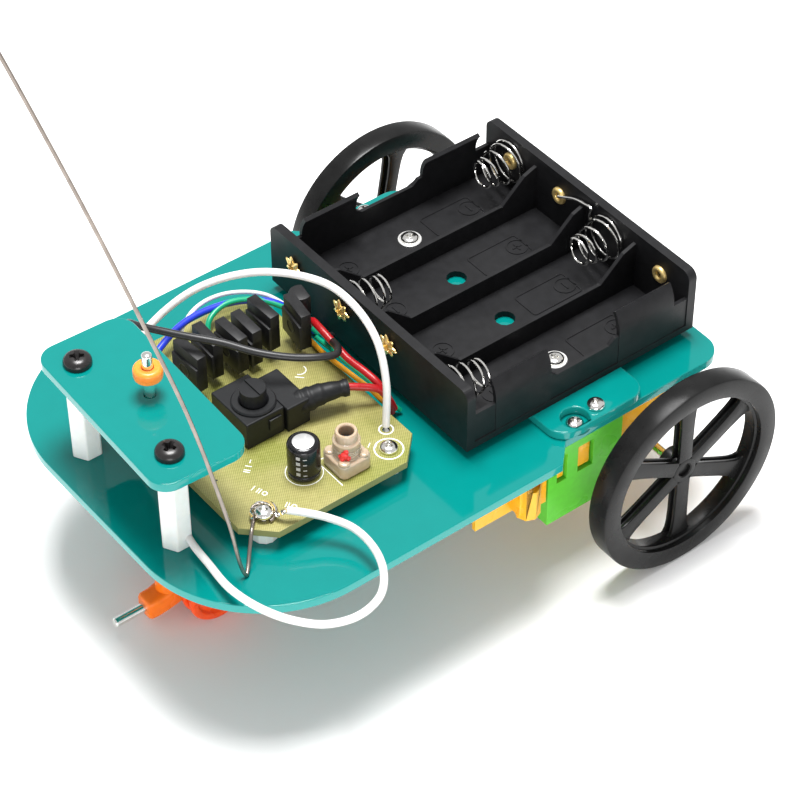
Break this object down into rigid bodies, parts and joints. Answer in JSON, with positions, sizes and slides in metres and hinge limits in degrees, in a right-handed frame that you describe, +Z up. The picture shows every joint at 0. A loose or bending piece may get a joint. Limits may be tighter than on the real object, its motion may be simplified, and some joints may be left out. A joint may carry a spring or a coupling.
{
  "type": "two wheel robot car",
  "caption": "Small acrylic robot car: geared drive wheels, front caster, battery box, receiver board and whip antenna",
  "frame": {"origin": "underside of the chassis plate, on the centre line under the receiver board, 75 mm ahead of the drive wheel axis", "axes": "front of the car faces -Y, +X is the car's own left, +Z up; the drive axle lies along X"},
  "size_m": [0.105, 0.139, 0.1562],
  "materials": {
    "acrylic": "polished teal acrylic sheet with brighter cut edges",
    "steel": "plain steel shafts, screws, springs and wire",
    "black_steel": "black oxide pan heads",
    "nylon": "white moulded nylon",
    "orange": "moulded orange plastic",
    "amber": "translucent amber moulding",
    "green": "moulded green plastic",
    "black": "black moulded plastic",
    "board": "phenolic circuit board",
    "motor_can": "drawn steel can",
    "can_sleeve": "dark shrink sleeve on an aluminium can",
    "coil_form": "pinkish translucent coil former",
    "wire_white": "white insulated wire",
    "wire_black": "black insulated wire",
    "wire_red": "red insulated wire"
  },
  "bodies": {
    "root": {"chassis_plate": "acrylic", "bridge_plate": "acrylic", "front_plate": "acrylic", "left_standoff": "nylon", "right_standoff": "nylon", "board_spacer": "nylon", "antenna_spacer": "nylon", "left_front_plate_screw": "black_steel", "right_front_plate_screw": "black_steel", "left_cover_screw": "steel", "right_cover_screw": "steel", "left_bridge_screw": "steel", "right_bridge_screw": "steel", "left_box_screw": "steel", "right_box_screw": "steel", "board_screw": "steel", "antenna_screw": "steel", "antenna": "steel", "battery_spring_1": "steel", "battery_spring_2": "steel", "battery_spring_3": "steel", "battery_spring_4": "steel", "left_gear_frame": "amber", "right_gear_frame": "amber", "left_gear_cover": "green", "right_gear_cover": "green", "battery_box": "black", "switch_body": "black", "transistor_1": "black", "transistor_2": "black", "transistor_3": "black", "transistor_4": "black", "transistor_5": "black", "transistor_6": "black", "left_motor": "motor_can", "right_motor": "motor_can", "circuit_board": "board", "capacitor": "can_sleeve", "coil": "coil_form", "aerial_lead": "wire_white", "battery_lead": "wire_black", "switch_lead": "wire_red"},
    "left_drive": {"left_wheel": "black", "left_axle": "steel", "left_output_gear": "amber"},
    "right_drive": {"right_wheel": "black", "right_axle": "steel", "right_output_gear": "amber"},
    "left_crown": {"left_crown_gear": "amber"},
    "right_crown": {"right_crown_gear": "amber"},
    "left_pinion": {"left_motor_pinion": "steel"},
    "right_pinion": {"right_motor_pinion": "steel"},
    "swivel": {"pivot_pin": "steel", "pivot_collar": "orange", "caster_arm": "orange", "arm_rod": "steel"},
    "caster_roll": {"caster_axle": "steel", "left_caster_wheel": "orange", "right_caster_wheel": "orange"},
    "button": {"switch_button": "black"}
  },
  "joints": [
    {"name": "left_wheel_spin", "type": "hinge", "parent": "root", "child": "left_drive", "pos_m": [0.0486, 0.075, -0.0117], "axis": [1, 0, 0], "continuous": true},
    {"name": "right_wheel_spin", "type": "hinge", "parent": "root", "child": "right_drive", "pos_m": [-0.0486, 0.075, -0.0117], "axis": [1, 0, 0], "continuous": true},
    {"name": "left_crown_spin", "type": "hinge", "parent": "root", "child": "left_crown", "pos_m": [0.028, 0.0652, -0.0078], "axis": [1, 0, 0], "continuous": true},
    {"name": "right_crown_spin", "type": "hinge", "parent": "root", "child": "right_crown", "pos_m": [-0.028, 0.0652, -0.0078], "axis": [1, 0, 0], "continuous": true},
    {"name": "left_motor_spin", "type": "hinge", "parent": "root", "child": "left_pinion", "pos_m": [0.0236, 0.058, -0.0078], "axis": [0, 1, 0], "continuous": true},
    {"name": "right_motor_spin", "type": "hinge", "parent": "root", "child": "right_pinion", "pos_m": [-0.0236, 0.058, -0.0078], "axis": [0, 1, 0], "continuous": true},
    {"name": "caster_swivel", "type": "hinge", "parent": "root", "child": "swivel", "pos_m": [0, -0.0145, 0], "axis": [0, 0, 1], "continuous": true},
    {"name": "caster_roll_spin", "type": "hinge", "parent": "swivel", "child": "caster_roll", "pos_m": [0, -0.007, -0.027], "axis": [1, 0, 0], "continuous": true},
    {"name": "switch_press", "type": "slide", "parent": "root", "child": "button", "axis": [0, 0, 1], "range_m": [-0.002, 0]}
  ],
  "couplings": [
    {"joint": "left_crown_spin", "follows": "left_wheel_spin", "ratio": -2.75},
    {"joint": "right_crown_spin", "follows": "right_wheel_spin", "ratio": -2.75},
    {"joint": "left_motor_spin", "follows": "left_wheel_spin", "ratio": -6.875},
    {"joint": "right_motor_spin", "follows": "right_wheel_spin", "ratio": 6.875}
  ]
}
